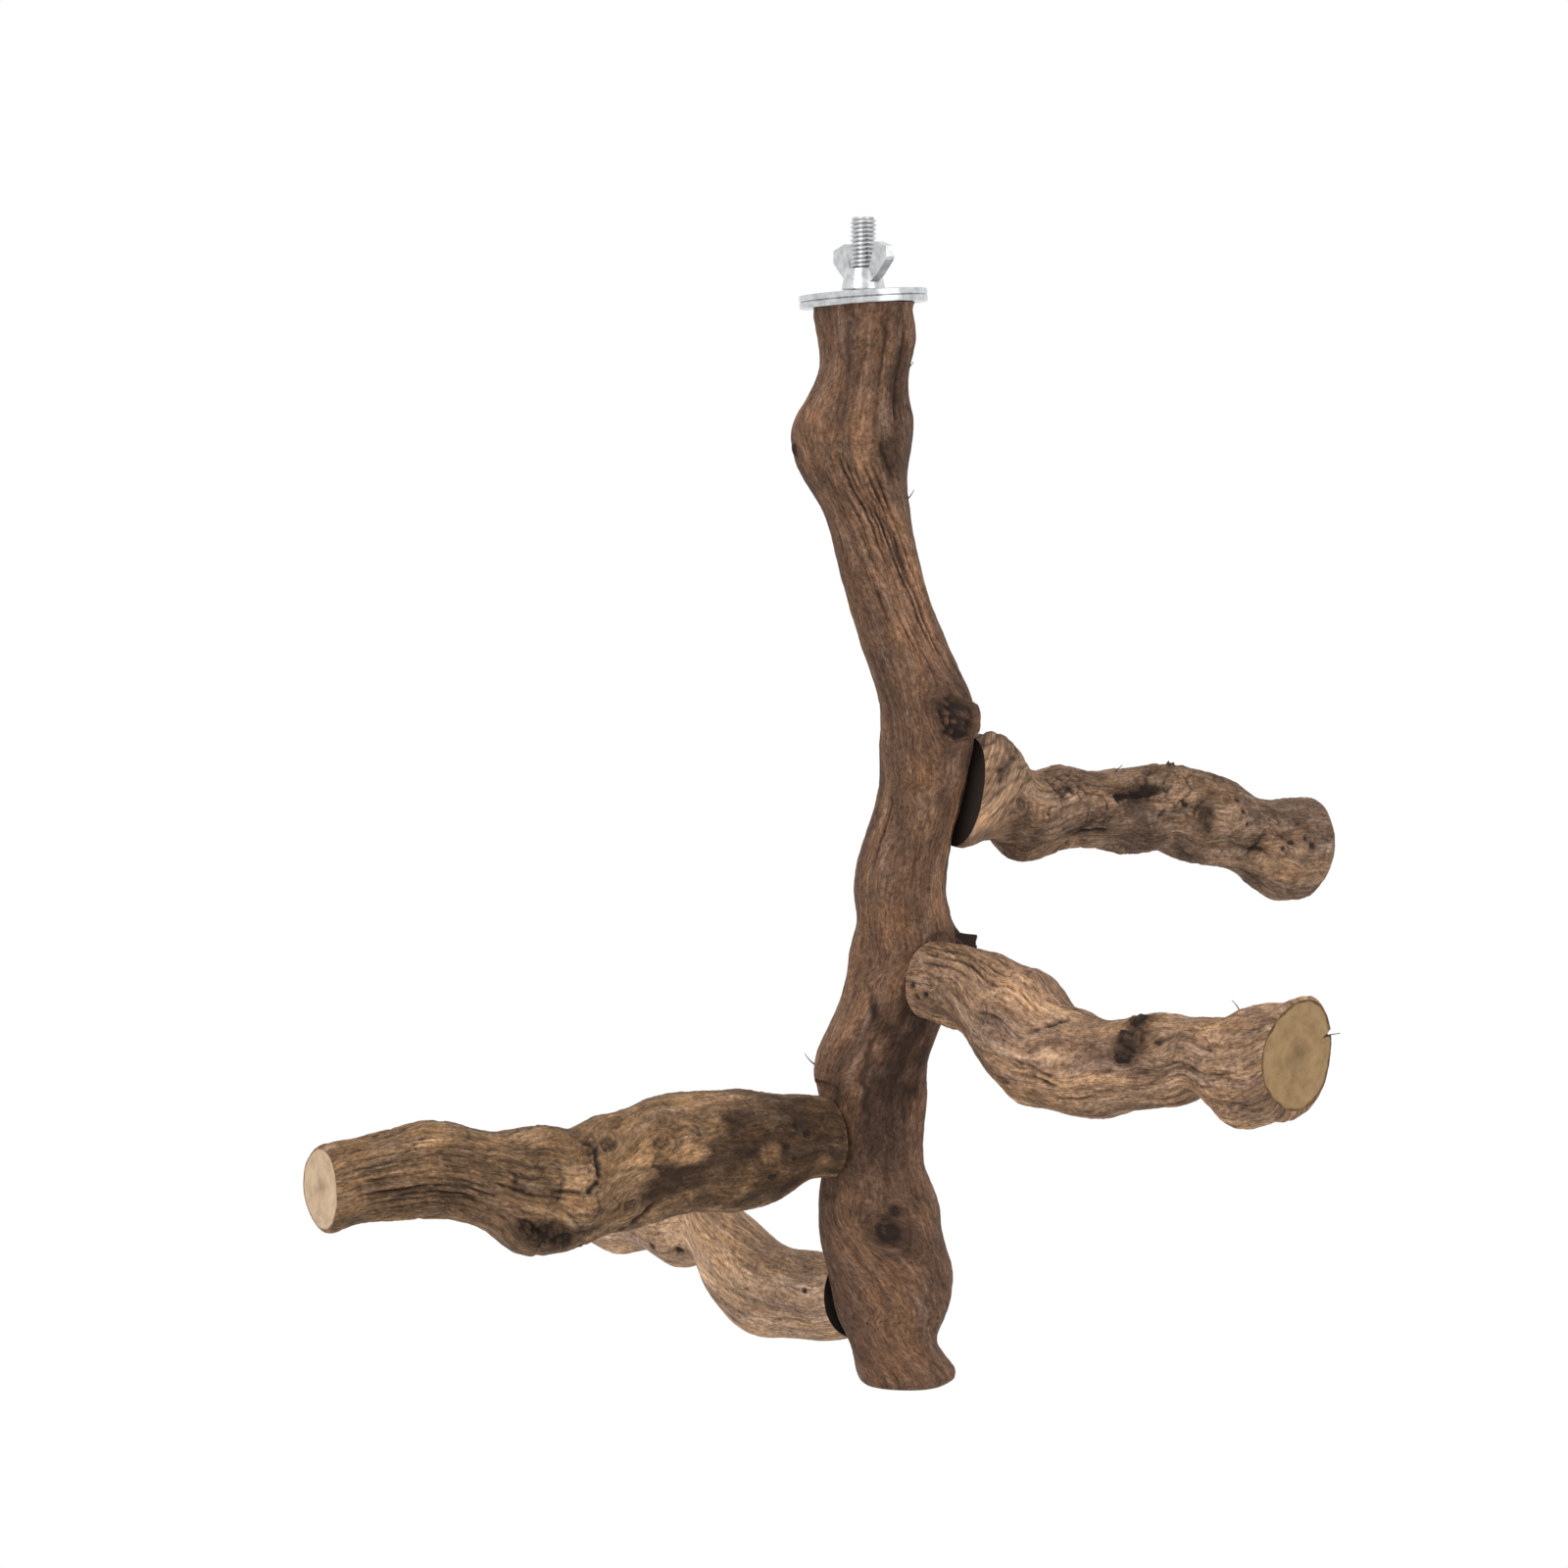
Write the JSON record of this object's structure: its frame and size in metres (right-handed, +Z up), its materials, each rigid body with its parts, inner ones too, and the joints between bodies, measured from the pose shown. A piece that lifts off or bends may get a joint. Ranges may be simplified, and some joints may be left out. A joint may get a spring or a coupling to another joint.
{
  "type": "bird perch",
  "caption": "Gnarled hardwood perch for a bird cage: a bent trunk with screwed-on side branches, hung by a top stud whose large washers and wing nut clamp the cage wires.",
  "frame": {"origin": "on the stud's axis, in the middle of the clamping plane between the two washers", "axes": "+Z up along the stud, +X to the right of the perch's front, +Y to its back"},
  "size_m": [0.242, 0.1386, 0.2751],
  "materials": {
    "trunk_wood": "bare weathered hardwood, dark brown with fine streaky grain",
    "branch_wood": "bare weathered hardwood, tan brown with folds, grooves and paler sawn ends",
    "zinc_steel": "bright zinc plate"
  },
  "bodies": {
    "trunk": {"trunk": "trunk_wood", "hanger_bolt": "zinc_steel", "lower_washer": "zinc_steel", "upper_right_screw": "zinc_steel", "middle_right_screw": "zinc_steel", "left_front_screw": "zinc_steel", "left_rear_screw": "zinc_steel"},
    "upper_right_branch": {"upper_right_branch": "branch_wood"},
    "middle_right_branch": {"middle_right_branch": "branch_wood"},
    "left_front_branch": {"left_front_branch": "branch_wood"},
    "left_rear_branch": {"left_rear_branch": "branch_wood"},
    "upper_washer": {"upper_washer": "zinc_steel"},
    "wing_nut": {"wing_nut": "zinc_steel"}
  },
  "joints": [
    {"name": "upper_right_swivel", "type": "hinge", "parent": "trunk", "child": "upper_right_branch", "pos_m": [0.02289, 0.00453, -0.11535], "axis": [0.8925, 0.4162, -0.1736], "range_deg": [0, 90]},
    {"name": "middle_right_swivel", "type": "hinge", "parent": "trunk", "child": "middle_right_branch", "pos_m": [0.0166, -0.0092, -0.15865], "axis": [0.6412, -0.7642, -0.0698], "range_deg": [0, 90]},
    {"name": "left_front_swivel", "type": "hinge", "parent": "trunk", "child": "left_front_branch", "pos_m": [-0.00795, -0.00493, -0.19685], "axis": [-0.8988, -0.4384, 0], "range_deg": [0, 90]},
    {"name": "left_rear_swivel", "type": "hinge", "parent": "trunk", "child": "left_rear_branch", "pos_m": [-0.00304, 0.00774, -0.23735], "axis": [-0.8112, 0.568, -0.1392], "range_deg": [0, 90]},
    {"name": "washer_slide", "type": "slide", "parent": "trunk", "child": "upper_washer", "axis": [0, 0, 1], "range_m": [0, 0.012]},
    {"name": "nut_spin", "type": "hinge", "parent": "upper_washer", "child": "wing_nut", "pos_m": [0, 0, 0], "axis": [0, 0, 1], "range_deg": [0, 4320]}
  ],
  "couplings": [
    {"joint": "washer_slide", "follows": "nut_spin", "m_per_rad": 0.00015915}
  ]
}
